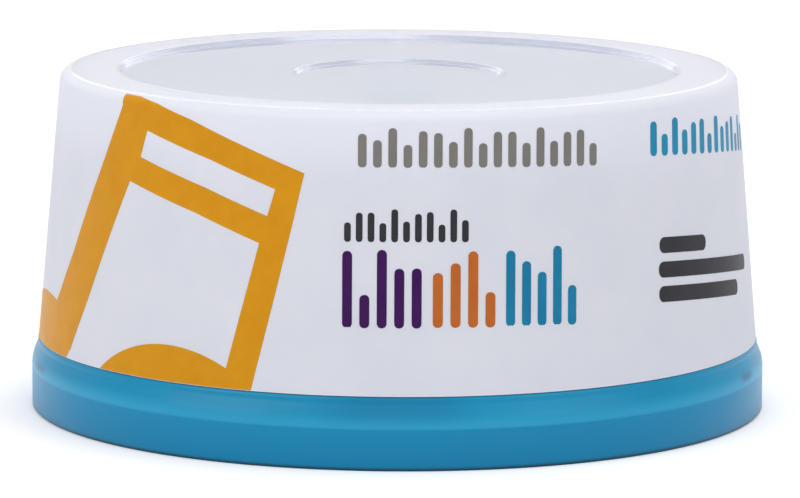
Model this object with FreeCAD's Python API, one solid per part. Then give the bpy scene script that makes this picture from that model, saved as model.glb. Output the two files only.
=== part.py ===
import FreeCAD, Part
import math
import os

# A pack of compact discs: thirty discs stacked on the spindle of a moulded base, with a clear guard
# disc above and below the stack, under a clear tapered cover that carries a printed wrap.
# The base stands on its skirt at height 0, and every piece is centred on the +Z axis.
# The cover's foot stands on the base's collar. Its spigot drops inside the collar and carries the
# bayonet lugs. The cover is drawn at the release position, with each lug in its entry gap, so that
# it lifts straight off. Turned clockwise by lock_turn_deg, each lug runs under its tab to a stop.
# Lengths are in millimetres and angles in degrees.

# Discs
disc_radius = 60.0
disc_hole_radius = 7.5
disc_thickness = 1.2
disc_count = 30
bead_radius = 17.0
bead_width = 0.9
bead_height = 0.06

# Deck, hub seat and gutter of the base
deck_margin = 3.6
deck_rise = 0.8
deck_thickness = 1.4
deck_wall = 1.4
hub_seat_margin = 1.0
hub_seat_rise = 1.2
gutter_floor_height = 5.0
gutter_floor_thickness = 1.4

# Collar and skirt of the base
collar_height = 13.0
collar_rim_wall = 0.95
collar_band = 1.1
collar_hollow = 1.5
shoulder_swell = 1.15
shoulder_drop = 3.7
shoulder_round = 6.0
skirt_wall = 1.5
foot_bevel = 0.4
rim_bevel = 0.25

# Spindle
spindle_play = 0.5
spindle_wall = 1.5
lead_in_step = 0.3
lead_in_above_stack = 0.5
tip_length = 1.5
tip_inset = 1.7
tip_gap = 0.5

# Ribs and stacking ring under the deck
rib_count = 8
rib_thickness = 1.0
rib_depth = 3.8
stacking_ring_wall = 1.2
stacking_ring_play = 0.6
stacking_gap = 0.4

# Cover
cover_wall = 1.3
crown_play = 1.35
flush_step = 0.45
headroom = 7.9
crown_round = 2.2
top_rim_width = 8.25
recess_depth = 0.8
dish_radius = 19.6
dish_depth = 0.6
spigot_play = 0.5
spigot_wall = 1.2
spigot_floor_gap = 1.2
web_rise = 1.0

# Bayonet
station_count = 4
bayonet_room = 1.1
bayonet_clearance = 0.2
lug_height = 1.4
lug_rise = 0.8
lug_width_deg = 14.0
lug_play_deg = 2.0
lug_lead = 0.4
tab_height = 1.3
tab_width_deg = 24.0
stop_width_deg = 1.5
core_slot_inset_deg = 1.0

# Printed wrap
wrap_thickness = 0.15
wrap_gap = 0.15
wrap_foot_margin = 0.6
wrap_crown_margin = 0.1
wrap_seam = 1.2

# Pieces that are fused run into each other by this much, so that they share more than a face.
weld = 0.3

# Radii, from the axis outwards
spindle_radius = disc_hole_radius - spindle_play
spindle_bore = spindle_radius - spindle_wall
hub_seat_radius = bead_radius + bead_width / 2 + hub_seat_margin
deck_radius = disc_radius + deck_margin
deck_wall_inner = deck_radius - deck_wall
spigot_inner = deck_radius + spigot_play
spigot_outer = spigot_inner + spigot_wall
collar_inner = spigot_outer + bayonet_room
collar_rim_radius = collar_inner + collar_rim_wall
base_radius = collar_rim_radius + shoulder_swell
skirt_inner = base_radius - skirt_wall
cover_foot_radius = collar_rim_radius - flush_step
crown_radius = disc_radius + crown_play + cover_wall
recess_radius = crown_radius - crown_round - top_rim_width
recess_floor_radius = recess_radius - recess_depth
stacking_ring_radius = recess_floor_radius - stacking_ring_play

# Heights, from the table upwards
deck_height = collar_height + deck_rise
deck_underside = deck_height - deck_thickness
seat_height = deck_height + hub_seat_rise
shoulder_height = collar_height - shoulder_drop
gutter_underside = gutter_floor_height - gutter_floor_thickness
rib_underside = deck_underside - rib_depth
stacking_ring_foot = gutter_underside - recess_depth - stacking_gap
disc_pitch = disc_thickness + bead_height
stack_top = seat_height + (disc_count + 2) * disc_pitch
case_height = stack_top + headroom
recess_height = case_height - recess_depth
dish_height = recess_height - dish_depth
spindle_top = dish_height - cover_wall - tip_gap
spigot_bottom = gutter_floor_height + spigot_floor_gap
lug_bottom = spigot_bottom + lug_rise
lug_top = lug_bottom + lug_height
tab_bottom = lug_top + bayonet_clearance
tab_top = tab_bottom + tab_height

# Bayonet angles, anticlockwise from above, from the middle of a station's tab
tab_half_deg = tab_width_deg / 2
entry_half_deg = lug_width_deg / 2 + lug_play_deg
entry_deg = tab_half_deg + entry_half_deg
locked_deg = stop_width_deg - tab_half_deg + lug_width_deg / 2
lock_turn_deg = entry_deg - locked_deg

ORIGIN = FreeCAD.Vector(0, 0, 0)
AXIS = FreeCAD.Vector(0, 0, 1)
FULL_TURN = 360.0


def section(corners):
    """A closed wire in the XZ plane. A corner is (radius, height), or (radius, height, round_radius)
    where the two sides that meet there are joined by a tangent arc."""
    points = [FreeCAD.Vector(corner[0], 0, corner[1]) for corner in corners]
    joints = []
    for i, corner in enumerate(corners):
        here = points[i]
        if len(corner) == 2:
            joints.append((here, here, here))
            continue
        back = points[i - 1] - here
        ahead = points[(i + 1) % len(points)] - here
        half_angle = back.getAngle(ahead) / 2
        longest = 0.45 * min(back.Length, ahead.Length)
        reach = min(corner[2] / math.tan(half_angle), longest)
        radius = reach * math.tan(half_angle)
        back.normalize()
        ahead.normalize()
        inward = (back + ahead).normalize()
        middle = here + inward * (radius / math.sin(half_angle) - radius)
        joints.append((here + back * reach, middle, here + ahead * reach))
    edges = []
    for i, (start, middle, end) in enumerate(joints):
        if start != end:
            edges.append(Part.Arc(start, middle, end).toShape())
        following = joints[(i + 1) % len(joints)][0]
        edges.append(Part.LineSegment(end, following).toShape())
    return Part.Wire(edges)


def turned(corners, centre_deg=0.0, width_deg=FULL_TURN):
    """The section turned about the axis, all the way round or as a sector centred on an angle."""
    solid = Part.Face(section(corners)).revolve(ORIGIN, AXIS, width_deg)
    solid.rotate(ORIGIN, AXIS, centre_deg - width_deg / 2)
    return solid


def block(inner, outer, low, high):
    """The corners of a rectangle between two radii and two heights."""
    return [(inner, low), (outer, low), (outer, high), (inner, high)]


def stations():
    """The angle of the middle of each bayonet tab, with the first on +X."""
    return [FULL_TURN * i / station_count for i in range(station_count)]


def cover_radius(height):
    """The outer radius of the cover's tapered wall at a height."""
    share = (height - collar_height) / (case_height - collar_height)
    return cover_foot_radius + share * (crown_radius - cover_foot_radius)


def disc(place):
    """One disc of the stack. Its hub bead stands on the piece below and sets the pitch."""
    low = seat_height + bead_height + place * disc_pitch
    high = low + disc_thickness
    return turned([
        (disc_hole_radius, low),
        (bead_radius - bead_width / 2, low),
        (bead_radius, low - bead_height),
        (bead_radius + bead_width / 2, low),
        (disc_radius, low),
        (disc_radius, high),
        (disc_hole_radius, high),
    ])


def base_shell():
    """Skirt, shoulder, collar, gutter, deck, hub seat and hollow spindle, as one turned section."""
    lead_in_radius = spindle_radius - lead_in_step
    lead_in_height = stack_top + lead_in_above_stack
    tip_height = spindle_top - tip_length
    bore_top = tip_height - spindle_wall
    return turned([
        (skirt_inner, 0),
        (base_radius - foot_bevel, 0),
        (base_radius, foot_bevel),
        (base_radius, shoulder_height, shoulder_round),
        (collar_rim_radius, collar_height - collar_band, collar_hollow),
        (collar_rim_radius, collar_height - rim_bevel),
        (collar_rim_radius - rim_bevel, collar_height),
        (collar_inner, collar_height),
        (collar_inner, gutter_floor_height),
        (deck_radius, gutter_floor_height),
        (deck_radius, deck_height - rim_bevel),
        (deck_radius - rim_bevel, deck_height),
        (hub_seat_radius, deck_height),
        (hub_seat_radius, seat_height),
        (spindle_radius, seat_height),
        (spindle_radius, lead_in_height),
        (lead_in_radius, lead_in_height + lead_in_step),
        (lead_in_radius, tip_height),
        (lead_in_radius - tip_inset, spindle_top),
        (0, spindle_top),
        (0, bore_top),
        (spindle_bore, bore_top),
        (spindle_bore, rib_underside),
        (spindle_radius, rib_underside),
        (spindle_radius, deck_underside),
        (deck_wall_inner, deck_underside),
        (deck_wall_inner, gutter_underside),
        (skirt_inner, gutter_underside),
    ])


def stacking_ring():
    """The ring under the deck that drops into the recess of the pack below."""
    inner = stacking_ring_radius - stacking_ring_wall
    return turned(block(inner, stacking_ring_radius, stacking_ring_foot, deck_underside + weld))


def ribs():
    """Radial ribs under the deck, from the spindle's tube to the deck's wall."""
    inner = spindle_radius - weld
    outer = deck_wall_inner + weld
    outline = section(block(inner, outer, rib_underside, deck_underside + weld))
    rib = Part.Face(outline).extrude(FreeCAD.Vector(0, rib_thickness, 0))
    rib.translate(FreeCAD.Vector(0, -rib_thickness / 2, 0))
    copies = []
    for i in range(rib_count):
        copy = rib.copy()
        copy.rotate(ORIGIN, AXIS, FULL_TURN * (i + 0.5) / rib_count)
        copies.append(copy)
    return copies


def bayonet_tabs():
    """At each station a tab on the collar, with a stop at its far end and one past the entry gap."""
    inner = spigot_outer + bayonet_clearance
    outer = collar_inner + weld
    tab = [(inner, tab_bottom), (outer, tab_bottom), (outer, tab_top), (inner, tab_top - lug_lead)]
    stop = block(inner, outer, gutter_floor_height - weld, tab_top - lug_lead)
    lock_stop_deg = (stop_width_deg - tab_width_deg) / 2
    entry_stop_deg = entry_deg + entry_half_deg + stop_width_deg / 2
    made = []
    for station in stations():
        made.append(turned(tab, station, tab_width_deg))
        made.append(turned(stop, station + lock_stop_deg, stop_width_deg))
        made.append(turned(stop, station + entry_stop_deg, stop_width_deg))
    return made


def core_slots():
    """The slots that the mould's cores leave in the gutter floor, one under each tab."""
    inner = spigot_outer + bayonet_clearance
    slot = block(inner, collar_inner, gutter_underside - weld, gutter_floor_height + weld)
    width = tab_width_deg - stop_width_deg - 2 * core_slot_inset_deg
    return [turned(slot, station + stop_width_deg / 2, width) for station in stations()]


def base():
    """The whole base, moulded in one piece with its spindle."""
    whole = base_shell().fuse([stacking_ring()] + ribs() + bayonet_tabs())
    return whole.cut(core_slots()).removeSplitter()


def cover_shell():
    """Tapered wall, crown with its recess and centre dish, and the spigot inside the collar."""
    # The steps of the crown are bevels at 45 degrees. Their inner faces stand this much further out,
    # which keeps one wall thickness through each step.
    offset = cover_wall * math.tan(math.radians(22.5))
    ceiling = case_height - cover_wall
    recess_ceiling = recess_height - cover_wall
    dish_ceiling = dish_height - cover_wall
    web_foot = collar_height + web_rise
    web_top = web_foot + cover_radius(collar_height) - cover_wall - spigot_inner
    return turned([
        (spigot_outer, collar_height),
        (cover_foot_radius, collar_height),
        (crown_radius, case_height, crown_round),
        (recess_radius, case_height),
        (recess_floor_radius, recess_height),
        (dish_radius, recess_height),
        (dish_radius - dish_depth, dish_height),
        (0, dish_height),
        (0, dish_ceiling),
        (dish_radius - dish_depth + offset, dish_ceiling),
        (dish_radius + offset, recess_ceiling),
        (recess_floor_radius + offset, recess_ceiling),
        (recess_radius + offset, ceiling),
        (cover_radius(ceiling) - cover_wall, ceiling, crown_round - cover_wall),
        (cover_radius(web_top) - cover_wall, web_top),
        (spigot_inner, web_foot),
        (spigot_inner, spigot_bottom),
        (spigot_outer, spigot_bottom),
    ])


def lugs():
    """The bayonet lugs on the spigot, each standing in the entry gap beside its tab."""
    inner = spigot_outer - weld
    outer = collar_inner - bayonet_clearance
    lug = [
        (inner, lug_bottom),
        (outer - lug_lead, lug_bottom),
        (outer, lug_bottom + lug_lead),
        (outer, lug_top),
        (inner, lug_top),
    ]
    return [turned(lug, station + entry_deg, lug_width_deg) for station in stations()]


def cover():
    """The whole cover, moulded in one piece."""
    return cover_shell().fuse(lugs()).removeSplitter()


def printed_wrap():
    """The printed film round the cover's wall and up its rounded crown, to just below the crown's top.
    Its two ends stand a seam apart at the back (+Y)."""
    inner = wrap_gap
    outer = wrap_gap + wrap_thickness
    low = collar_height + wrap_foot_margin
    high = case_height - wrap_crown_margin
    seam_deg = math.degrees(wrap_seam / cover_foot_radius)
    film = turned([
        (cover_radius(low) + inner, low),
        (cover_radius(low) + outer, low),
        (cover_radius(case_height + outer) + outer, case_height + outer, crown_round + outer),
        (recess_radius, case_height + outer),
        (recess_radius, case_height + inner),
        (cover_radius(case_height + inner) + inner, case_height + inner, crown_round + inner),
    ], -90.0, FULL_TURN - seam_deg)
    return film.cut(turned(block(0, base_radius, high, case_height + headroom)))


def pieces():
    """Every piece under its node's name, from the base up."""
    made = {"base": base(), "lower_guard_disc": disc(0)}
    for number in range(1, disc_count + 1):
        made[f"disc_{number:02d}"] = disc(number)
    made["upper_guard_disc"] = disc(disc_count + 1)
    made["cover"] = cover()
    made["printed_wrap"] = printed_wrap()
    return made


os.makedirs("parts", exist_ok=True)
for name, shape in pieces().items():
    shape.exportStep(f"parts/{name}.step")
    print(f"{name}: {len(shape.Solids)} solid, {shape.Volume / 1000:.2f} cm3")
print(f"stack top {stack_top:.2f}, spindle top {spindle_top:.2f}, case height {case_height:.2f}")
print(f"base radius {base_radius:.2f}, turn to lock {lock_turn_deg:.1f} degrees")
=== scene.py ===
# %% [markdown]
# # A spindle pack of compact discs
#
# The part is a round pack: thirty compact discs and two clear guard discs on the spindle of a tinted
# base, under a clear cover with a printed film rolled round it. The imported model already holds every
# solid at its right place, in metres. This lesson gives the solids their finish. The round pieces are
# worked out again with numpy, because a surface of revolution with many steps has cleaner highlights
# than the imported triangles.

import bmesh
import bpy
import numpy as np
from mathutils import Matrix, Vector


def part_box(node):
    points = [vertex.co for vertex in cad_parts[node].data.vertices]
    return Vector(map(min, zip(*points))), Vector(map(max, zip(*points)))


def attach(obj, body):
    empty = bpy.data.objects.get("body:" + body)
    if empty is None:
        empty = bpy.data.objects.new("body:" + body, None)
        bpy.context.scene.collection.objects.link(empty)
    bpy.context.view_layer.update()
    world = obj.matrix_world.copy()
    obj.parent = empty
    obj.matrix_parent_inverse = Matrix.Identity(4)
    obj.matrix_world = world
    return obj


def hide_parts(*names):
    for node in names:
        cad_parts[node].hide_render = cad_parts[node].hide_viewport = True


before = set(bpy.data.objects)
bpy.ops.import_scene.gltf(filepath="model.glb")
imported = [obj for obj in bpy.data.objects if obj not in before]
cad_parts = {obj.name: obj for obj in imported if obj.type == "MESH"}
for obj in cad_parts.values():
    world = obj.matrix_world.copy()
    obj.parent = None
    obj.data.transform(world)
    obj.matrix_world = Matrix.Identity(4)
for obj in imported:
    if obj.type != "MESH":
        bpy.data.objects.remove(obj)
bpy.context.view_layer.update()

MM = 0.001
BASE_BODY = "loaded_base"
COVER_BODY = "lifting_cover"
print("nodes in the packed model:", len(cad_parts))

# %% [markdown]
# ## The camera
#
# The photo was taken from about a metre away with a long lens, a little above the pack. The place of
# the spindle's middle in the photo gives the small shift, and the photo leans by a quarter of a degree.
# Setting the lens from a focal length in pixels keeps the pack as large as it is in the photo.

# %% Camera
PHOTO_WIDTH_PX = 800
PHOTO_HEIGHT_PX = 498
FOCAL_PX = 5613.9
AIM_PX = (398.0, 232.8)
AIM_HEIGHT = 32 * MM
CAMERA_DISTANCE = 1051.5 * MM
CAMERA_PITCH_DEG = 8.8
CAMERA_ROLL_DEG = 0.28
SENSOR_MM = 36.0


def add_camera():
    """Looks along +Y and down by the pitch, from the stated distance, at the aim point on the axis."""
    pitch = np.radians(CAMERA_PITCH_DEG)
    lens = bpy.data.cameras.new("camera")
    lens.sensor_width = SENSOR_MM
    lens.lens = FOCAL_PX * SENSOR_MM / PHOTO_WIDTH_PX
    lens.shift_x = (PHOTO_WIDTH_PX / 2 - AIM_PX[0]) / PHOTO_WIDTH_PX
    lens.shift_y = (AIM_PX[1] - PHOTO_HEIGHT_PX / 2) / PHOTO_WIDTH_PX
    camera = bpy.data.objects.new("camera", lens)
    back = Vector((0, -np.cos(pitch), np.sin(pitch))) * CAMERA_DISTANCE
    tilt = Matrix.Rotation(np.pi / 2 - pitch, 4, "X")
    roll = Matrix.Rotation(np.radians(CAMERA_ROLL_DEG), 4, "Z")
    camera.matrix_world = Matrix.Translation(back + Vector((0, 0, AIM_HEIGHT))) @ tilt @ roll
    bpy.context.scene.collection.objects.link(camera)
    bpy.context.scene.camera = camera
    return camera


print("camera at", [round(v, 3) for v in add_camera().matrix_world.translation])

# %% [markdown]
# ## Helpers for materials
#
# Colours are written as they are picked on a screen, as sRGB hex values. Blender works with linear
# light, so one function turns them. One more adds a node with its settings and links, and the short
# ones after it name the three kinds that come up most: arithmetic, a soft step and a mix of colours.

# %% Colour and node helpers


def srgb(code):
    """Turns an sRGB hex value to linear: c / 12.92 near black, ((c + 0.055) / 1.055) ^ 2.4 above."""
    parts = np.array([int(code[i:i + 2], 16) for i in (1, 3, 5)]) / 255
    linear = np.where(parts <= 0.04045, parts / 12.92, ((parts + 0.055) / 1.055) ** 2.4)
    return (*linear.tolist(), 1.0)


def add_node(tree, kind, settings=None, links=None):
    """Adds a node. Settings are its properties or its inputs' values, and links feed its inputs."""
    node = tree.nodes.new(kind)
    for key, value in (settings or {}).items():
        if isinstance(key, str) and hasattr(node, key):
            setattr(node, key, value)
        else:
            node.inputs[key].default_value = value
    for key, source in (links or {}).items():
        tree.links.new(source, node.inputs[key])
    return node


def maths(tree, operation, *terms):
    """The result of a math node. Each term is a number or another node's output."""
    node = add_node(tree, "ShaderNodeMath", {"operation": operation})
    for socket, term in zip(node.inputs, terms):
        if isinstance(term, float):
            socket.default_value = term
        else:
            tree.links.new(term, socket)
    return node.outputs[0]


def smooth_step(tree, value, start, end):
    """0 where the value is at the start, 1 where it is at the end, with a soft step between them."""
    return add_node(
        tree,
        "ShaderNodeMapRange",
        {"interpolation_type": "SMOOTHSTEP", "From Min": start, "From Max": end},
        {"Value": value},
    ).outputs[0]


def blend(tree, share, first, second):
    """Two colours mixed, with a share of the second. Each is a hex value or another node's output."""
    terms = {"Factor": share, "A": first, "B": second}
    settings, links = {"data_type": "RGBA"}, {}
    for key, term in terms.items():
        if isinstance(term, str):
            settings[key] = srgb(term)
        elif isinstance(term, float):
            settings[key] = term
        else:
            links[key] = term
    return add_node(tree, "ShaderNodeMix", settings, links).outputs[2]


def new_finish(name):
    """An empty material, its node tree and its output."""
    finish = bpy.data.materials.new(name)
    finish.use_nodes = True
    finish.node_tree.nodes.clear()
    output = finish.node_tree.nodes.new("ShaderNodeOutputMaterial")
    return finish, finish.node_tree, output


def set_ramp(ramp, stops):
    """Gives a colour ramp its stops, as (place, sRGB hex value)."""
    stops = list(stops)
    elements = ramp.color_ramp.elements
    while len(elements) < len(stops):
        elements.new(0.5)
    for element, (place, code) in zip(elements, stops):
        element.position = place
        element.color = srgb(code)


print("sRGB #808080 is linear", round(srgb("#808080")[0], 3))

# %% [markdown]
# ## Clear plastics
#
# The cover is moulded in clear polystyrene, IOR 1.59, and the discs in polycarbonate, IOR 1.585. Both
# are polished by the mould, so their roughness is close to nothing. Real glass-like shading bends
# light through both faces of the wall, which gives the bright rims that clear mouldings have. Thin
# polystyrene also has a haze: a share of the light is scattered as by a milky white. The raised rim of
# the crown and the bevels inside it are a little rougher and hazier than the rest, a finish of their own;
# their extra haze is painted light that lightens them. Lamps can't reach what lies under such a surface,
# so for shadow rays and for diffuse bounces the plastic is plainly see-through, and the discs inside stay
# as bright as in the hand.

# %% Clear plastics


def clear_plastic(name, tint, let_through, ior, roughness, clearness, ripple_mm, ripple):
    """A polished clear moulding. A slow ripple, as moulds leave it, moves the reflections a little.

    clearness below 1 leaves a share of milky body colour, the haze of thin polystyrene."""
    finish, tree, output = new_finish(name)
    place = add_node(tree, "ShaderNodeTexCoord")
    noise = add_node(
        tree,
        "ShaderNodeTexNoise",
        {"Scale": 1 / (ripple_mm * MM), "Detail": 1.0},
        {"Vector": place.outputs["Object"]},
    )
    bump = add_node(
        tree,
        "ShaderNodeBump",
        {"Strength": 1.0, "Distance": ripple * MM},
        {"Height": noise.outputs[0]},
    )
    plastic = add_node(
        tree,
        "ShaderNodeBsdfPrincipled",
        {
            "Base Color": srgb(tint),
            "IOR": ior,
            "Roughness": roughness,
            "Transmission Weight": clearness,
        },
        {"Normal": bump.outputs[0]},
    )
    clear = add_node(tree, "ShaderNodeBsdfTransparent", {"Color": srgb(let_through)})
    path = add_node(tree, "ShaderNodeLightPath")
    passes = maths(tree, "MAXIMUM", path.outputs["Is Shadow Ray"], path.outputs["Is Diffuse Ray"])
    mixed = add_node(
        tree, "ShaderNodeMixShader", None, {0: passes, 1: plastic.outputs[0], 2: clear.outputs[0]}
    )
    tree.links.new(mixed.outputs[0], output.inputs["Surface"])
    return finish


clear_polystyrene = clear_plastic(
    "moulded_clear_polystyrene", "#EBEFF9", "#F4F5FA", 1.59, 0.05, 0.75, 30, 0.03
)
# Partly painted light: a hazier, rougher copy whose extra milky share lightens the crown's rim and bevels.
hazy_lit_polystyrene = clear_plastic(
    "hazy_lit_polystyrene_rim", "#EBEDF8", "#F4F5FA", 1.59, 0.15, 0.69, 30, 0.03
)
clear_polycarbonate = clear_plastic(
    "moulded_clear_polycarbonate", "#EEF1F6", "#EDF0F6", 1.585, 0.06, 0.9, 40, 0.01
)
print("clear finishes:", clear_polystyrene.name, hazy_lit_polystyrene.name, clear_polycarbonate.name)

# %% [markdown]
# ## Tinted plastic of the base
#
# The base is moulded in polystyrene with a blue-green dye. Light enters it, is tinted and scattered,
# and comes out again, so it looks lit from inside, and the gloss on its skin is soft and weak. A part of
# its weight goes to transmission and the rest to a diffuse body colour, which gives the same milky glow
# in far less time than a true volume. Slow swirls in the dye keep the colour from being flat. What stands
# behind the wall shows through it. Painted light gives a lighter band just above the gutter's floor,
# for the light that floor scatters. Painted shade gives a deeper blue in front of the four bayonet tabs,
# a short dark mark at each side, and a dark line along the foot, where the eye looks up through the
# skirt's whole height.

# %% Tinted plastic


def height_share(tree, axes, low_mm, high_mm):
    """0 below the first height, 1 above the second, and a soft step between them."""
    return smooth_step(tree, axes.outputs["Z"], low_mm * MM, high_mm * MM)


def direction_from_axis(tree, place):
    """The direction from the axis to a point, (x, y) / r."""
    flat = add_node(
        tree,
        "ShaderNodeVectorMath",
        {"operation": "MULTIPLY", 1: (1, 1, 0)},
        {0: place.outputs["Object"]},
    )
    return add_node(tree, "ShaderNodeVectorMath", {"operation": "NORMALIZE"}, {0: flat.outputs[0]})


def near_stations(tree, parts):
    """1 in front of the four bayonet tabs and 0 between them.

    At an angle a round the axis, |x y| / r^2 is |sin 2a| / 2. It is 0 at the tabs' middles, on X and
    Y, and 0.2 at the ends of a tab, 12 degrees on."""
    product = maths(tree, "MULTIPLY", parts.outputs["X"], parts.outputs["Y"])
    return smooth_step(tree, maths(tree, "ABSOLUTE", product), 0.25, 0.1)


def painted_side_shade(tree, parts, axes):
    """1 at the spots of painted shade where the bayonet is seen end on, near 9.2 mm up, and fading out
    round them.

    They lie where |x / r + 0.0135| is 0.9535. That is 20 degrees off the X axis at the right and 15 at
    the left, so the bayonet is turned a little against the print."""
    side = maths(tree, "ABSOLUTE", maths(tree, "ADD", parts.outputs["X"], 0.0135))
    away = maths(tree, "ABSOLUTE", maths(tree, "SUBTRACT", side, 0.9535))
    rise, fall = height_share(tree, axes, 7.9, 9.1), height_share(tree, axes, 9.3, 10.5)
    level = maths(tree, "SUBTRACT", rise, fall)
    return maths(tree, "MULTIPLY", smooth_step(tree, away, 0.024, 0.006), level)


def tinted_plastic():
    """Blue-green polystyrene with a soft, weak gloss. The dye's swirls are about 25 mm long.

    From the dye on, the colour is changed five times: by painted shade in front of the tabs, a painted
    light band over the gutter, the hollow skirt below it, painted shade marks at the sides and painted
    shade along the edge of the foot."""
    finish, tree, output = new_finish("tinted_polystyrene")
    place = add_node(tree, "ShaderNodeTexCoord")
    swirl = add_node(
        tree,
        "ShaderNodeTexNoise",
        {"Scale": 1 / (25 * MM), "Detail": 3.0, "Roughness": 0.5},
        {"Vector": place.outputs["Object"]},
    )
    dye = add_node(tree, "ShaderNodeValToRGB", None, {0: swirl.outputs[0]})
    set_ramp(dye, [(0.3, "#0492BE"), (0.7, "#0C9CCA")])
    axes = add_node(tree, "ShaderNodeSeparateXYZ", None, {0: place.outputs["Object"]})
    direction = direction_from_axis(tree, place)
    parts = add_node(tree, "ShaderNodeSeparateXYZ", None, {0: direction.outputs[0]})
    # Painted shade: a deeper blue in front of the bayonet tabs, from about 8 mm up.
    behind = maths(tree, "MULTIPLY", near_stations(tree, parts), height_share(tree, axes, 7.4, 8.4))
    tabs = blend(tree, maths(tree, "MULTIPLY", behind, 0.5), dye.outputs[0], "#007BAC")
    # Painted light: a lighter band just above the gutter's floor, fading out by 10.8 mm.
    glow_share = maths(tree, "SUBTRACT", 1.0, height_share(tree, axes, 7.8, 10.8))
    gutter = blend(tree, maths(tree, "MULTIPLY", glow_share, 0.5), tabs, "#3CBEEA")
    skirt = blend(tree, height_share(tree, axes, 7.2, 7.8), "#0893C4", gutter)
    # Painted shade: the short dark marks at the sides.
    side_shade_share = maths(tree, "MULTIPLY", painted_side_shade(tree, parts, axes), 0.8)
    side_shaded = blend(tree, side_shade_share, skirt, "#00709E")
    # Painted shade: a dark line along the foot, from 0.9 mm down.
    foot = blend(tree, height_share(tree, axes, 0.2, 0.9), "#05506C", side_shaded)
    plastic = add_node(
        tree,
        "ShaderNodeBsdfPrincipled",
        {"IOR": 1.59, "Specular IOR Level": 0.07, "Roughness": 0.3, "Transmission Weight": 0.25},
        {"Base Color": foot},
    )
    tree.links.new(plastic.outputs[0], output.inputs["Surface"])
    return finish


tinted_polystyrene = tinted_plastic()
print("tinted finish:", tinted_polystyrene.name)

# %% [markdown]
# ## The metal layer of a disc
#
# A recordable disc has a thin film of metal under a lacquer. Seen from above it is a mirror, broken
# into a radial sheen by the groove that winds round the disc, with a breath of rainbow in it. The
# sheen comes from anisotropic roughness with its tangent round the spindle. The groove's pitch is
# 0.0016 mm, far too fine to draw, so its rainbow, which is light split by the groove, is painted into
# the metal's colour as pale spokes that turn with the angle: painted light.

# %% Metal layer


def metal_layer(name, base, rainbow_hues, rainbow_share, roughness):
    """Metal under lacquer, with a painted rainbow whose colour at a point comes from noise on the
    direction from the axis to it.
    """
    finish, tree, output = new_finish(name)
    place = add_node(tree, "ShaderNodeTexCoord")
    direction = direction_from_axis(tree, place)
    # Painted light: the rainbow, as pale spokes of colour round the axis.
    painted_rainbow = add_node(
        tree,
        "ShaderNodeTexNoise",
        {"Scale": 3.2, "Detail": 1.5},
        {"Vector": direction.outputs[0]},
    )
    rainbow_hue = add_node(tree, "ShaderNodeValToRGB", None, {0: painted_rainbow.outputs[0]})
    set_ramp(rainbow_hue, rainbow_hues)
    colour = blend(tree, rainbow_share, base, rainbow_hue.outputs[0])
    around = add_node(tree, "ShaderNodeTangent", {"direction_type": "RADIAL", "axis": "Z"})
    metal = add_node(
        tree,
        "ShaderNodeBsdfPrincipled",
        {
            "Metallic": 1.0,
            "Roughness": roughness,
            "Anisotropic": 0.6,
            "Coat Weight": 0.6,
            "Coat Roughness": 0.05,
        },
        {"Base Color": colour, "Tangent": around.outputs[0]},
    )
    tree.links.new(metal.outputs[0], output.inputs["Surface"])
    return finish


# Stops and colours of the painted rainbow: pale on the lacquered top, stronger on the read side.
RAINBOW_PLACES = (0.3, 0.42, 0.5, 0.58, 0.7)
PALE_RAINBOW = ("#D9CCF2", "#CDE6F4", "#D6F0DC", "#F4F0CC", "#F3CFDC")
READ_RAINBOW = ("#B9A6E6", "#9CCBE8", "#A6E0C4", "#E6E2A0", "#E8A8BE")
lacquered_metal = metal_layer("lacquered_metal", "#BFC2CE", zip(RAINBOW_PLACES, PALE_RAINBOW), 0.25, 0.25)
dyed_metal = metal_layer("dyed_metal", "#B8C8C6", zip(RAINBOW_PLACES, READ_RAINBOW), 0.5, 0.18)
print("disc finishes:", lacquered_metal.name, dyed_metal.name)

# %% [markdown]
# ## Printed film and inks
#
# The wrap is a white film, a little see-through, with painted light that makes it lighter near its top.
# Film and inks lie under one thin satin varnish, so every ink has the film's weak coat and only its colour
# differs. Both have faint clouds, because a print is never quite even; the clouds are some millimetres
# wide. The varnish has a fine orange-peel grain.

# %% Film and inks


def clouded(tree, place, light, dark, cloud_mm):
    """A colour that drifts between two close shades, in clouds of the stated width."""
    clouds = add_node(
        tree,
        "ShaderNodeTexNoise",
        {"Scale": 1 / (cloud_mm * MM), "Detail": 4.0, "Roughness": 0.6},
        {"Vector": place.outputs["Object"]},
    )
    colour = add_node(tree, "ShaderNodeValToRGB", None, {0: clouds.outputs[0]})
    set_ramp(colour, [(0.3, dark), (0.7, light)])
    return colour.outputs[0]


def varnished(tree, place, colour):
    """A printed colour under a thin satin varnish with a fine orange peel."""
    peel = add_node(
        tree,
        "ShaderNodeTexNoise",
        {"Scale": 1 / (1.2 * MM), "Detail": 1.0},
        {"Vector": place.outputs["Object"]},
    )
    bump = add_node(
        tree, "ShaderNodeBump", {"Strength": 1.0, "Distance": 0.002 * MM}, {"Height": peel.outputs[0]}
    )
    return add_node(
        tree,
        "ShaderNodeBsdfPrincipled",
        {
            "IOR": 1.5,
            "Specular IOR Level": 0.08,
            "Roughness": 0.4,
            "Coat Weight": 0.05,
            "Coat Roughness": 0.12,
        },
        {"Base Color": colour, "Normal": bump.outputs[0], "Coat Normal": bump.outputs[0]},
    )


def ink_finish(name, light, dark):
    """A varnished ink, with clouds 5 mm wide."""
    finish, tree, output = new_finish(name)
    place = add_node(tree, "ShaderNodeTexCoord")
    varnish = varnished(tree, place, clouded(tree, place, light, dark, 5))
    tree.links.new(varnish.outputs[0], output.inputs["Surface"])
    return finish


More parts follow.
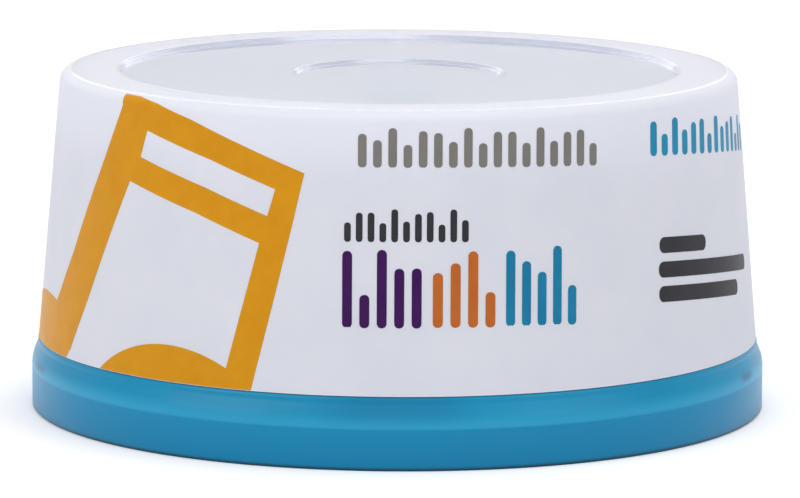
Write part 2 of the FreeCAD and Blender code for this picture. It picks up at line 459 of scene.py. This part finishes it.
def film_finish(name, light, dark, top, fade_from_mm, fade_to_mm, through):
    """The film's pearl white, with painted light: it turns lighter between two heights, towards its top.

    through is the share of the light that passes the film and lights the inside of the cover."""
    finish, tree, output = new_finish(name)
    place = add_node(tree, "ShaderNodeTexCoord")
    axes = add_node(tree, "ShaderNodeSeparateXYZ", None, {0: place.outputs["Object"]})
    # Painted light: the colour turns to the lighter top shade from fade_from_mm up to fade_to_mm.
    painted_light_share = height_share(tree, axes, fade_from_mm, fade_to_mm)
    colour = blend(tree, painted_light_share, clouded(tree, place, light, dark, 12), top)
    varnish = varnished(tree, place, colour)
    body = add_node(tree, "ShaderNodeBsdfTranslucent", None, {"Color": colour})
    both = add_node(
        tree, "ShaderNodeMixShader", {0: through}, {1: varnish.outputs[0], 2: body.outputs[0]}
    )
    tree.links.new(both.outputs[0], output.inputs["Surface"])
    return finish


# The third colour is the film's painted light near its top, from 50 to 63 mm.
pearl_film = film_finish("pearl_white_film", "#EFF0F7", "#EAECF4", "#F1F2F8", 50, 63, 0.3)
orange_ink = ink_finish("orange_ink", "#D09013", "#C8880F")
grey_ink = ink_finish("grey_ink", "#7B7974", "#74726E")
dark_ink = ink_finish("dark_ink", "#343438", "#2E2E32")
teal_ink = ink_finish("teal_ink", "#2389AE", "#1D81A6")
purple_ink = ink_finish("purple_ink", "#3D1553", "#36104C")
copper_ink = ink_finish("copper_ink", "#BA652B", "#B25D25")
blue_ink = ink_finish("blue_ink", "#1B7AA1", "#157298")
print("print finishes:", pearl_film.name, "and seven inks")

# %% [markdown]
# ## From outlines to round pieces
#
# Cover and discs are turned: an outline in the plane of radius and height is carried round the axis.
# Blender's Screw modifier could do that, but whole arrays give closed poles and exact seams. An
# outline's corners are rounded first, as a mould's are, because a highlight lives on the rounding.

# %% Outline and lathe helpers


def rounded(corners, steps=4):
    """Rounds a closed outline of (radius, height, rounding) corners, in millimetres.

    A corner P becomes an arc between A and C, which lie on its two sides at the tangent length,
    rounding / tan(h), where h is half the corner's angle. The arc is the average of A, P and C with
    the weights (1 - t)^2, 2 t (1 - t) sin(h) and t^2. One more point on each side, a little further
    out, keeps the flat faces flat in the shading."""
    table = np.array(corners, float)
    corner, radius = table[:, :2], table[:, 2:]
    back = np.roll(corner, 1, axis=0) - corner
    ahead = np.roll(corner, -1, axis=0) - corner
    back_length = np.linalg.norm(back, axis=1, keepdims=True)
    ahead_length = np.linalg.norm(ahead, axis=1, keepdims=True)
    back, ahead = back / back_length, ahead / ahead_length
    half = np.arccos(np.clip((back * ahead).sum(axis=1, keepdims=True), -1, 1)) / 2
    reach = np.minimum(radius / np.tan(half), 0.3 * np.minimum(back_length, ahead_length))
    start, end = corner + back * reach, corner + ahead * reach
    t = np.linspace(0, 1, steps + 1)[None, :, None]
    pull = 2 * t * (1 - t) * np.sin(half)[:, None]
    curve = (1 - t) ** 2 * start[:, None] + pull * corner[:, None] + t ** 2 * end[:, None]
    curve /= (1 - t) ** 2 + pull + t ** 2
    flank = reach + np.minimum(0.5 * reach, 0.3)
    points = np.concatenate(
        [(corner + back * flank)[:, None], curve, (corner + ahead * flank)[:, None]], axis=1
    ).reshape(-1, 2)
    moved = np.linalg.norm(points - np.roll(points, 1, axis=0), axis=1) > 1e-6
    return points[moved]


def turned(outline, segments, middle=0.0, width=2 * np.pi):
    """Carries an outline round the axis: point (i, j) is (r_j cos a_i, r_j sin a_i, z_j).

    The outline runs anticlockwise, so that its faces point outwards. All the way round, the last
    column joins the first, and a point on the axis is one shared vertex. A narrower sector has a cap
    at each end. Returns the points and a list of arrays of faces."""
    whole = width >= 2 * np.pi
    columns = segments if whole else segments + 1
    angle = middle - width / 2 + width * np.arange(columns) / segments
    radius, height = outline.T * MM
    points = np.stack(
        [
            np.outer(np.cos(angle), radius),
            np.outer(np.sin(angle), radius),
            np.broadcast_to(height, (columns, len(height))),
        ],
        axis=-1,
    )
    index = np.arange(columns * len(height)).reshape(columns, -1)
    on_axis = radius < 1e-9
    index[:, on_axis] = index[0, on_axis]
    near = index if whole else index[:-1]
    far = np.roll(index, -1, axis=0) if whole else index[1:]
    quads = np.stack([near, far, np.roll(far, -1, axis=1), np.roll(near, -1, axis=1)], axis=-1)
    quads = quads.reshape(-1, 4)
    low_pole = quads[:, 0] == quads[:, 1]
    high_pole = quads[:, 2] == quads[:, 3]
    faces = [
        quads[~low_pole & ~high_pole],
        quads[low_pole & ~high_pole][:, [0, 2, 3]],
        quads[~low_pole & high_pole][:, :3],
    ]
    if not whole:
        faces += [index[:1, ::-1], index[-1:]]
    return points.reshape(-1, 3), faces


def build_piece(name, surfaces, finishes, zones=None, sharp_deg=40.0):
    """Joins surfaces into one mesh object at the origin, smooth except along edges over sharp_deg.

    zones gives each face its finish, as a function of the faces' middles in millimetres."""
    points, faces, start = [], [], 0
    for own_points, own_faces in surfaces:
        points.append(own_points)
        faces += [array + start for array in own_faces]
        start += len(own_points)
    used, corners = np.unique(np.concatenate([array.ravel() for array in faces]), return_inverse=True)
    points = np.concatenate(points)[used]
    cuts = np.cumsum([array.size for array in faces])[:-1]
    shapes = [array.shape for array in faces]
    faces = [part.reshape(shape) for part, shape in zip(np.split(corners.ravel(), cuts), shapes)]
    mesh = bpy.data.meshes.new(name)
    mesh.from_pydata(points, [], [face for array in faces for face in array.tolist()])
    mesh.shade_smooth()
    mesh.set_sharp_from_angle(angle=np.radians(sharp_deg))
    for finish in finishes:
        mesh.materials.append(finish)
    if zones:
        middle = np.empty(len(mesh.polygons) * 3)
        mesh.polygons.foreach_get("center", middle)
        mesh.polygons.foreach_set("material_index", zones(middle.reshape(-1, 3) / MM))
    mesh.validate()
    piece = bpy.data.objects.new(name, mesh)
    bpy.context.scene.collection.objects.link(piece)
    return piece


print("helpers ready: rounded, turned, build_piece")

# %% [markdown]
# ## The cover
#
# One clear moulding: a tapered wall, a crown with a raised rim, a recess and a shallow dish at its
# middle, and below the collar a spigot with four bayonet lugs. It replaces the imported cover, with the
# same corners, so the visual and the solid agree. The wall's inside is drawn too, because a clear
# moulding shows both of its faces.

# %% Cover
SEGMENTS = 256
WALL = 1.3
CASE_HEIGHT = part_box("cover")[1].z / MM
SPIGOT_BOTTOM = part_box("cover")[0].z / MM
COLLAR_HEIGHT = 13.0
FOOT_RADIUS = 66.9
CROWN_RADIUS = 62.65
CROWN_ROUND = 2.2
RECESS_RADIUS = 52.2
RECESS_DEPTH = 0.8
DISH_RADIUS = 19.6
DISH_DEPTH = 0.6
SPIGOT_INNER = 64.1
SPIGOT_OUTER = 65.3
EDGE = 0.2


def cover_radius(height):
    """The outer radius of the tapered wall, on a straight line from the foot to the crown."""
    share = (height - COLLAR_HEIGHT) / (CASE_HEIGHT - COLLAR_HEIGHT)
    return FOOT_RADIUS + share * (CROWN_RADIUS - FOOT_RADIUS)


def cover_outline():
    """The cover's section from the middle of its ceiling, down inside, and up again outside."""
    ceiling = CASE_HEIGHT - WALL
    recess = CASE_HEIGHT - RECESS_DEPTH
    dish = recess - DISH_DEPTH
    out = WALL * np.tan(np.pi / 8)
    web_foot = COLLAR_HEIGHT + 1.0
    web_top = web_foot + FOOT_RADIUS - WALL - SPIGOT_INNER
    return rounded([
        (0, dish - WALL, 0),
        (DISH_RADIUS - DISH_DEPTH + out, dish - WALL, EDGE),
        (DISH_RADIUS + out, recess - WALL, EDGE),
        (RECESS_RADIUS - RECESS_DEPTH + out, recess - WALL, EDGE),
        (RECESS_RADIUS + out, ceiling, EDGE),
        (cover_radius(ceiling) - WALL, ceiling, CROWN_ROUND - WALL),
        (cover_radius(web_top) - WALL, web_top, EDGE),
        (SPIGOT_INNER, web_foot, EDGE),
        (SPIGOT_INNER, SPIGOT_BOTTOM, EDGE),
        (SPIGOT_OUTER, SPIGOT_BOTTOM, EDGE),
        (SPIGOT_OUTER, COLLAR_HEIGHT, 0.1),
        (FOOT_RADIUS, COLLAR_HEIGHT, EDGE),
        (CROWN_RADIUS, CASE_HEIGHT, CROWN_ROUND),
        (RECESS_RADIUS, CASE_HEIGHT, 0.4),
        (RECESS_RADIUS - RECESS_DEPTH, CASE_HEIGHT - RECESS_DEPTH, 0.4),
        (DISH_RADIUS, recess, 0.4),
        (DISH_RADIUS - DISH_DEPTH, dish, 0.4),
        (0, dish, 0),
    ], steps=6)


STATIONS = 4
ENTRY_DEG = 21.0
LUG_WIDTH_DEG = 14.0
LUG_OUTER = 66.2
LUG_LOW = 7.0
LUG_HIGH = 8.4
LUG_LEAD = 0.4


def bayonet_lugs():
    """The four lugs on the spigot, each a short sector of one small outline."""
    outline = np.array([
        (SPIGOT_OUTER - 0.3, LUG_LOW),
        (LUG_OUTER - LUG_LEAD, LUG_LOW),
        (LUG_OUTER, LUG_LOW + LUG_LEAD),
        (LUG_OUTER, LUG_HIGH),
        (SPIGOT_OUTER - 0.3, LUG_HIGH),
    ])
    middles = np.radians(ENTRY_DEG + 360 / STATIONS * np.arange(STATIONS))
    return [turned(outline, 8, middle, np.radians(LUG_WIDTH_DEG)) for middle in middles]


def crown_zones(middle):
    """1 for the crown's raised rim with its bevel and for the dish's bevel, which take the hazier finish
    with its painted light, 0 for the rest.
    """
    radius = np.hypot(middle[:, 0], middle[:, 1])
    crown = middle[:, 2] > CASE_HEIGHT - WALL - EDGE
    rim = radius > RECESS_RADIUS - RECESS_DEPTH
    bevel = np.abs(radius - DISH_RADIUS + DISH_DEPTH / 2) < DISH_DEPTH / 2
    return np.where(crown & (rim | bevel), 1, 0)


cover = build_piece(
    "clear_cover",
    [turned(cover_outline(), SEGMENTS)] + bayonet_lugs(),
    [clear_polystyrene, hazy_lit_polystyrene],
    crown_zones,
)
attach(cover, COVER_BODY)
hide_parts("cover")
print("cover:", len(cover.data.polygons), "faces")

# %% [markdown]
# ## The base
#
# Skirt, shoulder, collar, gutter, deck, ribs and hollow spindle are one tinted moulding. Its ribs and
# bayonet tabs aren't round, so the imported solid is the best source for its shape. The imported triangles
# are loose, which shades every facet flat. A copy whose loose corners are merged shades as one skin,
# with its real edges kept sharp.

# %% Base


def smooth_copy(node, name, finish, sharp_deg=25.0):
    """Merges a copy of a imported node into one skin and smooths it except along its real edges."""
    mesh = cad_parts[node].data.copy()
    mesh.name = name
    work = bmesh.new()
    work.from_mesh(mesh)
    bmesh.ops.remove_doubles(work, verts=work.verts, dist=0.0005 * MM)
    work.to_mesh(mesh)
    work.free()
    mesh.shade_smooth()
    mesh.set_sharp_from_angle(angle=np.radians(sharp_deg))
    mesh.materials.clear()
    mesh.materials.append(finish)
    piece = bpy.data.objects.new(name, mesh)
    bpy.context.scene.collection.objects.link(piece)
    return piece


base = smooth_copy("base", "tinted_base", tinted_polystyrene)
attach(base, BASE_BODY)
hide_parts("base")
print("base:", len(base.data.vertices), "vertices after merging")

# %% [markdown]
# ## The discs
#
# A disc is 120 mm across and 1.2 mm thick. It stands on a small bead near its hub, has a moulded
# groove on top, and its metal ends short of the hub and of the rim, which stay clear. One outline
# serves all thirty-two discs. Faces are told apart by their radius: clear hub, metal, clear rim. The
# guard discs above and below the stack have no metal.

# %% Discs
DISC_RADIUS = 60.0
DISC_HOLE = 7.5
DISC_THICKNESS = 1.2
BEAD_RADIUS = 17.0
BEAD_HALF = 0.45
BEAD_HEIGHT = 0.06
GROOVE_RADIUS = 18.6
METAL_FROM = 20.0
METAL_TO = 58.7
DISC_SEGMENTS = 128


def disc_outline(low):
    """The section of a disc whose flat underside is at a height."""
    high = low + DISC_THICKNESS
    return rounded([
        (DISC_HOLE, low, 0.15),
        (BEAD_RADIUS - BEAD_HALF, low, 0),
        (BEAD_RADIUS, low - BEAD_HEIGHT, 0.05),
        (BEAD_RADIUS + BEAD_HALF, low, 0),
        (METAL_FROM, low, 0),
        (METAL_TO, low, 0),
        (DISC_RADIUS, low, 0.3),
        (DISC_RADIUS, high, 0.3),
        (METAL_TO, high, 0),
        (METAL_FROM, high, 0),
        (GROOVE_RADIUS + 0.3, high, 0),
        (GROOVE_RADIUS, high - 0.15, 0.05),
        (GROOVE_RADIUS - 0.3, high, 0),
        (DISC_HOLE, high, 0.15),
    ], steps=3)


def metal_zones(low):
    """0 for clear plastic, 1 for lacquered metal on top, 2 for the dyed metal of the read side."""

    def zones(middle):
        radius = np.hypot(middle[:, 0], middle[:, 1])
        metal = (radius > METAL_FROM) & (radius < METAL_TO)
        above = middle[:, 2] > low + DISC_THICKNESS / 2
        return np.where(metal, np.where(above, 1, 2), 0)

    return zones


disc_names = sorted(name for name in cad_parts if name.startswith("disc_"))
for name in disc_names + ["lower_guard_disc", "upper_guard_disc"]:
    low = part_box(name)[0].z / MM + BEAD_HEIGHT
    surface = [turned(disc_outline(low), DISC_SEGMENTS)]
    if name in disc_names:
        finishes = [clear_polycarbonate, lacquered_metal, dyed_metal]
        disc = build_piece("compact_" + name, surface, finishes, metal_zones(low))
    else:
        disc = build_piece("clear_" + name, surface, [clear_polycarbonate])
    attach(disc, BASE_BODY)
    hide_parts(name)
print("discs:", len(disc_names), "and two guard discs")

# %% [markdown]
# ## The printed film
#
# The wrap is a strip of film rolled round the cover's cone, with its two ends a little apart at the
# back. A film that is rolled onto a cone is cut flat from a ring whose centre is the cone's tip. A
# print that is straight on the flat sheet therefore drops at both sides once the film is rolled up, as
# it does in the photo. The artwork is laid out on the flat sheet and rolled by one function. At its top
# the film follows the crown's rounding. It is drawn down to the collar, because a strip of bare cover
# between film and collar, half a millimetre high, would show as a grey line.

# %% Rolling flat artwork onto the cone
FILM_GAP = 0.15
FILM_THICKNESS = 0.15
FILM_SEAM = 1.2
FILM_LOW = COLLAR_HEIGHT + 0.15
FILM_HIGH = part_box("printed_wrap")[1].z / MM
HALF_CONE = np.arctan((FOOT_RADIUS - CROWN_RADIUS) / (CASE_HEIGHT - COLLAR_HEIGHT))
TIP_DISTANCE = (cover_radius(0.0) + FILM_GAP + FILM_THICKNESS) / np.sin(HALF_CONE)
ROUND_MIDDLE_HEIGHT = CASE_HEIGHT - CROWN_ROUND
ROUND_MIDDLE_RADIUS = cover_radius(ROUND_MIDDLE_HEIGHT) - CROWN_ROUND / np.cos(HALF_CONE)


def on_film(turn, height, lift):
    """A point of the film: turn from the front towards +X in radians, height and lift in millimetres.

    The film stands off the wall by its gap and thickness, and lies closer to the crown near its top
    edge. On the wall the radius is the cone's. On the crown's rounding, from s sin(half cone) above its
    middle, it is the middle's radius plus sqrt(s^2 - h^2), where s is the rounding with the film on it
    and h the height above its middle."""
    near_top = np.clip((height - ROUND_MIDDLE_HEIGHT) / CROWN_ROUND, 0, 1)
    proud = (FILM_GAP + FILM_THICKNESS) * (1 - 0.8 * near_top ** 2) + lift
    bent = CROWN_ROUND + proud
    above = height - ROUND_MIDDLE_HEIGHT
    bend = np.sqrt(np.maximum(bent ** 2 - above ** 2, 0))
    on_round = above > bent * np.sin(HALF_CONE)
    radius = np.where(on_round, ROUND_MIDDLE_RADIUS + bend, cover_radius(height) + proud)
    return np.stack([radius * np.sin(turn), -radius * np.cos(turn), height], axis=-1) * MM


def rolled(x, y):
    """Rolls a flat point (x, y) up: turn = atan2(x, R - y) / sin(half cone), where R is the tip's
    distance, and the height follows from the distance to the tip, sqrt(x^2 + (R - y)^2)."""
    turn = np.arctan2(x, TIP_DISTANCE - y) / np.sin(HALF_CONE)
    height = (TIP_DISTANCE - np.hypot(x, TIP_DISTANCE - y)) * np.cos(HALF_CONE)
    return turn, height


def film(turn, height, inner, outer):
    """A closed thin sheet over a grid of turns and heights, between two lifts from the film's face.

    The outer sheet, the inner sheet turned over, and a wall along each of the four edges."""
    columns, rows = turn.shape
    front = np.arange(columns * rows).reshape(columns, rows)
    back = front + columns * rows
    points = np.concatenate([
        on_film(turn, height, outer).reshape(-1, 3),
        on_film(turn, height, inner).reshape(-1, 3),
    ])

    def strip(first, second):
        """Quads between two lines of points, from the first line to the second."""
        return np.stack([first[:-1], first[1:], second[1:], second[:-1]], axis=-1).reshape(-1, 4)

    sheet = np.stack([front[:-1, :-1], front[1:, :-1], front[1:, 1:], front[:-1, 1:]], axis=-1)
    faces = [
        sheet.reshape(-1, 4),
        sheet.reshape(-1, 4)[:, ::-1] + columns * rows,
        strip(back[:, 0], front[:, 0]),
        strip(front[:, -1], back[:, -1]),
        strip(front[0], back[0]),
        strip(back[-1], front[-1]),
    ]
    return points, faces


print("half angle of the cone", round(float(np.degrees(HALF_CONE)), 2), "degrees")

# %% Film
half_turn = np.pi - FILM_SEAM / 2 / FOOT_RADIUS
film_heights = np.concatenate([
    np.linspace(FILM_LOW, ROUND_MIDDLE_HEIGHT - 0.3, 12),
    ROUND_MIDDLE_HEIGHT + (FILM_HIGH - ROUND_MIDDLE_HEIGHT) * np.sin(np.linspace(0.08, np.pi / 2, 14)),
])
turn_grid, height_grid = np.meshgrid(
    np.linspace(-half_turn, half_turn, SEGMENTS + 1), film_heights, indexing="ij"
)
wrap = build_piece("pearl_wrap", [film(turn_grid, height_grid, -FILM_THICKNESS, 0.0)], [pearl_film])
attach(wrap, COVER_BODY)
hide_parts("printed_wrap")
print("film from", round(FILM_LOW, 2), "to", round(FILM_HIGH, 2), "mm")

# %% [markdown]
# ## The printed note
#
# The print's main figure is a pair of beamed quavers in orange. It could be a picture on the film, but
# flat shapes stay sharp at any distance. Each stem and beam is a ruled strip: points that slide from
# one edge line to the other. The upper strips have more steps, because they bend over the crown's
# rounding. Heads are ellipses cut off by the film's lower edge. Ink is a few hundredths of a millimetre
# thick here, thicker than real ink, so that it stays clear of the film.

# %% Ink helpers
INK_LOW = 0.004
INK_HIGH = 0.03
HEAD_LIFT = 0.006


def along(line, steps):
    """Points along a broken line of (x, y) corners, evenly spread in each of its runs."""
    line = np.array(line, float)
    place = np.linspace(0, len(line) - 1, steps * (len(line) - 1) + 1)
    corner = np.arange(len(line))
    return np.stack([np.interp(place, corner, line[:, axis]) for axis in (0, 1)], axis=-1)


def ink_strip(first, second, steps_along=12, steps_across=10):
    """A ruled strip of ink: (1 - s) times the first line plus s times the second, rolled onto the film.

    The first line is the lower or left one, and both run to the right or upwards."""
    first, second = along(first, steps_along), along(second, steps_along)
    s = np.linspace(0, 1, steps_across + 1)[:, None, None]
    grid = (1 - s) * first + s * second
    if np.ptp(first[:, 0]) > np.ptp(first[:, 1]):
        grid = grid.swapaxes(0, 1)
    turn, height = rolled(grid[..., 0], grid[..., 1])
    return film(turn, height, INK_LOW, INK_HIGH)


def ink_head(middle, half_width, half_height):
    """An ellipse of ink, cut off by the film's lower edge, in columns from lower to upper line."""
    floor_reach = TIP_DISTANCE - (FILM_LOW + 0.1) / np.cos(HALF_CONE)

    def lines(x):
        rise = half_height * np.sqrt(np.clip(1 - ((x - middle[0]) / half_width) ** 2, 0, 1))
        edge = TIP_DISTANCE - np.sqrt(floor_reach ** 2 - x ** 2)
        return np.maximum(middle[1] - rise, edge), middle[1] + rise

    x = np.linspace(middle[0] - half_width, middle[0] + half_width, 2001)
    low, high = lines(x)
    inside = x[high - low > 0.05]
    sweep = (1 - np.cos(np.linspace(0, np.pi, 49))) / 2
    x = inside[0] + (inside[-1] - inside[0]) * sweep
    low, high = lines(x)
    y = low[:, None] + (high - low)[:, None] * np.linspace(0, 1, 7)
    turn, height = rolled(np.broadcast_to(x[:, None], y.shape), y)
    return film(turn, height, INK_LOW + HEAD_LIFT, INK_HIGH + HEAD_LIFT)


def add_ink(name, surfaces, finish):
    """Adds a printed shape as a piece of its own, which lifts with the cover."""
    ink = build_piece(name, surfaces, [finish])
    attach(ink, COVER_BODY)
    return ink


print("ink is", round(INK_HIGH - INK_LOW, 3), "mm thick")

# %% Note
LEFT_EDGE = [(-82.0, 26.2), (-78.8, 29.7), (-73.3, 36.5), (-64.6, 50.0), (-61.9, 54.4), (-59.4, 58.8)]
TIP_EDGE = [(-58.2, 60.9), (-56.8, 63.5), (-57.3, 65.4)]
RIGHT_EDGE = [(-26.6, 13.8), (-22.2, 30.3), (-19.7, 40.1), (-18.5, 44.9), (-17.5, 49.2)]
TOP_EDGE = [(-52.7, 65.0), (-47.4, 63.9), (-39.2, 61.3), (-20.7, 54.0), (-16.7, 52.4)]
SLOT_TOP = [(-49.8, 59.1), (-44.8, 57.5), (-34.8, 54.3), (-22.1, 49.5)]
SLOT_LOW = [(-51.5, 54.3), (-36.1, 49.4), (-23.6, 44.7)]
GAP_TOP = [(-54.3, 49.9), (-38.0, 44.8), (-25.1, 39.9)]
LEFT_STEM = [(-73.6, 18.1), (-66.8, 28.1), (-61.6, 37.1)]
LEFT_STEM_TOP = [(-50.7, 61.0), (-51.6, 62.8), TOP_EDGE[0]]
RIGHT_STEM = [(-32.5, 14.1), (-27.9, 30.1)]

LEFT_INNER = [*LEFT_STEM, GAP_TOP[0], SLOT_LOW[0], SLOT_TOP[0], *LEFT_STEM_TOP]
RIGHT_INNER = [*RIGHT_STEM, GAP_TOP[-1], SLOT_LOW[-1], SLOT_TOP[-1]]

note_shapes = [
    ink_strip([*SLOT_TOP, RIGHT_EDGE[-1]], TOP_EDGE, steps_across=30),
    ink_strip(GAP_TOP, SLOT_LOW),
    ink_strip([*LEFT_EDGE, *TIP_EDGE], LEFT_INNER),
    ink_strip(RIGHT_INNER, RIGHT_EDGE),
    ink_head((-93.2, 20.3), 19.9, 8.2),
    ink_head((-45.6, -1.95), 26.0, 23.0),
]
note = add_ink("printed_note", note_shapes, orange_ink)
print("note:", len(note.data.polygons), "faces")

# %% [markdown]
# ## The level bars
#
# The rest of the print is a set of bars, like the level meter of a tape deck: grey, dark and teal ones
# small, three coloured groups large, and three plain rows at the right. Each bar is a rectangle with
# round ends. Its half width at a height is w - r + sqrt(r^2 - d^2), where d is how far that height
# lies into the rounding, and a fiftieth of w more, so that no row of points falls together.

# %% Level bars
BAR_FILL = 0.56


def ink_bar(left, right, low, high):
    """One bar with rounded corners, on the flat sheet, rolled onto the film."""
    half = (right - left) / 2
    radius = 0.45 * min(right - left, high - low)
    y = low + (high - low) * (1 - np.cos(np.linspace(0, np.pi, 15))) / 2
    depth = np.maximum(np.maximum(low + radius - y, y - high + radius), 0)
    width = half - radius + np.sqrt(radius ** 2 - depth ** 2) + 0.02 * half
    across = np.linspace(-1, 1, max(4, int(right - left)))
    x = (left + right) / 2 + across[:, None] * width
    turn, height = rolled(x, np.broadcast_to(y, x.shape))
    return film(turn, height, INK_LOW, INK_HIGH)


def level_bars(left, right, base, low, high, count, phase):
    """A row of upright bars. Bar i is low + (high - low) |sin(1.9 i + phase)| tall."""
    pitch = (right - left) / (count - 1 + BAR_FILL)
    start = left + pitch * np.arange(count)
    tall = low + (high - low) * np.abs(np.sin(1.9 * np.arange(count) + phase))
    return [ink_bar(x, x + BAR_FILL * pitch, base, base + h) for x, h in zip(start, tall)]


PRINTED_BARS = {
    "grey_bars": (level_bars(-7.1, 37.2, 53.6, 3.2, 7.0, 17, 0.8), grey_ink),
    "small_dark_bars": (level_bars(-9.5, 12.5, 40.5, 2.4, 5.8, 11, 0.3), dark_ink),
    "purple_bars": (level_bars(-9.8, 4.2, 25.3, 5.5, 14.2, 5, 1.2), purple_ink),
    "copper_bars": (level_bars(6.2, 17.4, 25.4, 5.5, 14.2, 4, 0.5), copper_ink),
    "blue_bars": (level_bars(19.4, 33.0, 25.5, 5.5, 14.2, 5, 2.0), blue_ink),
    "teal_bars": (level_bars(50.0, 91.5, 54.9, 3.0, 6.8, 14, 1.0), teal_ink),
}
for name, (surfaces, finish) in PRINTED_BARS.items():
    add_ink(name, surfaces, finish)

ROW_LEFT = 52.4
ROW_LOW = 28.6
ROW_PITCH = 4.4
ROW_HEIGHT = 2.9
ROW_LENGTHS = (28.6, 34.7, 14.2)
rows = [
    ink_bar(ROW_LEFT, ROW_LEFT + length, ROW_LOW + ROW_PITCH * i, ROW_LOW + ROW_PITCH * i + ROW_HEIGHT)
    for i, length in enumerate(ROW_LENGTHS)
]
add_ink("dark_rows", rows, dark_ink)
print("printed bars:", len(PRINTED_BARS) + 1, "groups")

# %% [markdown]
# ## Studio
#
# The photo is a product shot on pure white. A wide floor fills the whole view. Its colour is a plain
# near-white, and for the rays that the eye and the reflections follow it glows a little on top, so it
# reads as white and still keeps the pack's soft shadow. The world does the same: it lights the pack at
# a plain level, and shows as white where it is seen through the cover. Mirrored by a glossy face it is a
# little darker, as a studio is above and behind the camera. Five soft lamps stand round the pack: one
# above, one at each side, a weak one in front, and a wide one behind that lights the crown's far bevels.

# %% Floor, world and lamps
FLOOR_HALF_M = 6.0
FLOOR_GLOW = 0.2
SKY_LEVEL = 0.6
MIRROR_LOSS = 0.18


def seen_rays(tree):
    """1 for the rays that show things: from the camera, in a reflection or through a clear body."""
    path = add_node(tree, "ShaderNodeLightPath")
    direct = maths(tree, "MAXIMUM", path.outputs["Is Camera Ray"], path.outputs["Is Glossy Ray"])
    return maths(tree, "MAXIMUM", direct, path.outputs["Is Transmission Ray"])


def add_floor():
    """A flat sheet just under the foot ring."""
    finish, tree, output = new_finish("matt_white_floor")
    paint = add_node(tree, "ShaderNodeBsdfDiffuse", {"Color": srgb("#EDEDEF")})
    level = maths(tree, "MULTIPLY", seen_rays(tree), FLOOR_GLOW)
    glow = add_node(tree, "ShaderNodeEmission", None, {"Strength": level})
    both = add_node(tree, "ShaderNodeAddShader", None, {0: paint.outputs[0], 1: glow.outputs[0]})
    tree.links.new(both.outputs[0], output.inputs["Surface"])
    corner = np.array([(-1, -1, 0), (1, -1, 0), (1, 1, 0), (-1, 1, 0)]) * FLOOR_HALF_M
    mesh = bpy.data.meshes.new("floor")
    mesh.from_pydata(corner, [], [(0, 1, 2, 3)])
    mesh.materials.append(finish)
    floor = bpy.data.objects.new("floor", mesh)
    bpy.context.scene.collection.objects.link(floor)
    return floor


def add_world():
    """A plain light from all round, seen as white, and a little less bright in reflections."""
    world = bpy.data.worlds.new("studio")
    world.use_nodes = True
    tree = world.node_tree
    tree.nodes.clear()
    seen = seen_rays(tree)
    glossy = add_node(tree, "ShaderNodeLightPath").outputs["Is Glossy Ray"]
    lit = add_node(tree, "ShaderNodeBackground", {"Color": srgb("#FFFFFF"), "Strength": SKY_LEVEL})
    level = maths(tree, "SUBTRACT", 1.0, maths(tree, "MULTIPLY", glossy, MIRROR_LOSS))
    white = add_node(tree, "ShaderNodeBackground", {"Color": srgb("#FFFFFF")}, {"Strength": level})
    mixed = add_node(
        tree, "ShaderNodeMixShader", None, {0: seen, 1: lit.outputs[0], 2: white.outputs[0]}
    )
    output = tree.nodes.new("ShaderNodeOutputWorld")
    tree.links.new(mixed.outputs[0], output.inputs["Surface"])
    bpy.context.scene.world = world


def add_softbox(name, place, width, height, watts):
    """A rectangular lamp at a place, turned to the pack's middle."""
    lamp = bpy.data.lights.new(name, "AREA")
    lamp.shape = "RECTANGLE"
    lamp.size = width
    lamp.size_y = height
    lamp.energy = watts
    softbox = bpy.data.objects.new(name, lamp)
    aim = Vector((0, 0, AIM_HEIGHT)) - Vector(place)
    softbox.rotation_mode = "QUATERNION"
    softbox.rotation_quaternion = aim.to_track_quat("-Z", "Y")
    softbox.location = place
    bpy.context.scene.collection.objects.link(softbox)
    return softbox


add_floor()
add_world()
add_softbox("softbox_top", (0.2, 0.1, 1.5), 0.8, 0.8, 7.0)
add_softbox("softbox_left", (-1.3, -0.9, 0.9), 1.2, 1.2, 9.0)
add_softbox("softbox_right", (1.3, -0.9, 0.9), 1.2, 1.2, 5.0)
add_softbox("softbox_front", (-0.1, -1.2, 0.9), 1.4, 0.6, 1.5)
add_softbox("softbox_back", (0.0, 1.5, 0.8), 3.2, 1.0, 9.0)
print("floor, world and five softboxes are set")

# %% [markdown]
# ## Last settings
#
# Standard keeps colours as they are written. The dressed pack has to fill the same space as the
# imported solids.

# %% Finish
bpy.context.scene.view_settings.view_transform = "Standard"
